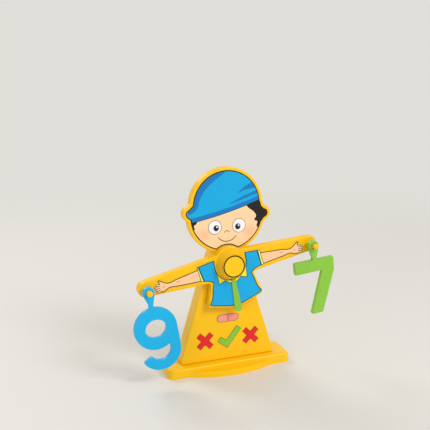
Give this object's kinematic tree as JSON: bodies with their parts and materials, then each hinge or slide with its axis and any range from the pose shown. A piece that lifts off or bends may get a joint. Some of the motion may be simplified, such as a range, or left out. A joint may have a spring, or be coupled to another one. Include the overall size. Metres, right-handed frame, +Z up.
{
  "type": "number balance toy",
  "caption": "Child-shaped plastic number balance: tilting arms on an A-shaped stand with a long foot, with digits hung from pegs at the hands.",
  "frame": {"origin": "on the floor under the middle of the foot", "axes": "+Z up, front towards -Y, +X to the right seen from the front"},
  "size_m": [0.3339, 0.0981, 0.328],
  "materials": {
    "yellow_plastic": "satin moulded",
    "blue_plastic": "satin moulded",
    "green_plastic": "satin moulded",
    "white_plastic": "natural",
    "face_sheet": "printed",
    "shirt_sheet": "printed",
    "red_mark": "printed",
    "pink_mark": "printed",
    "green_mark": "printed",
    "badge_sheet": "printed",
    "pin_steel": "turned",
    "screw_steel": "zinc plated"
  },
  "bodies": {
    "stand": {"foot": "yellow_plastic", "stand_front": "yellow_plastic", "stand_cover": "yellow_plastic", "stand_screw_1": "screw_steel", "stand_screw_2": "screw_steel", "stand_screw_3": "screw_steel", "stand_screw_4": "screw_steel", "head_cover": "yellow_plastic", "head_screw_1": "screw_steel", "head_screw_2": "screw_steel", "head_screw_3": "screw_steel", "head_print": "face_sheet", "scale_band": "pink_mark", "cross_left": "red_mark", "cross_right": "red_mark", "tick": "green_mark", "pivot_pin": "pin_steel", "spacer_washer": "white_plastic", "retaining_clip": "pin_steel"},
    "beam": {"beam_front": "yellow_plastic", "beam_back": "yellow_plastic", "beam_screw_1": "screw_steel", "beam_screw_2": "screw_steel", "beam_screw_3": "screw_steel", "beam_screw_4": "screw_steel", "bearing_bush": "white_plastic", "body_print": "shirt_sheet", "pointer": "green_plastic", "pivot_cap": "yellow_plastic", "cap_badge": "badge_sheet", "peg_left": "yellow_plastic", "peg_right": "yellow_plastic"},
    "nine": {"digit_nine": "blue_plastic"},
    "seven": {"digit_seven": "green_plastic"}
  },
  "joints": [
    {"name": "beam_tilt", "type": "hinge", "parent": "stand", "child": "beam", "pos_m": [0, 0, 0.178], "axis": [0, 1, 0], "range_deg": [0, 19]},
    {"name": "nine_swing", "type": "hinge", "parent": "beam", "child": "nine", "pos_m": [-0.13561, 0, 0.15226], "axis": [0, 1, 0], "range_deg": [-70, 70]},
    {"name": "seven_swing", "type": "hinge", "parent": "beam", "child": "seven", "pos_m": [0.1366, 0, 0.19782], "axis": [0, 1, 0], "range_deg": [-70, 70]}
  ]
}
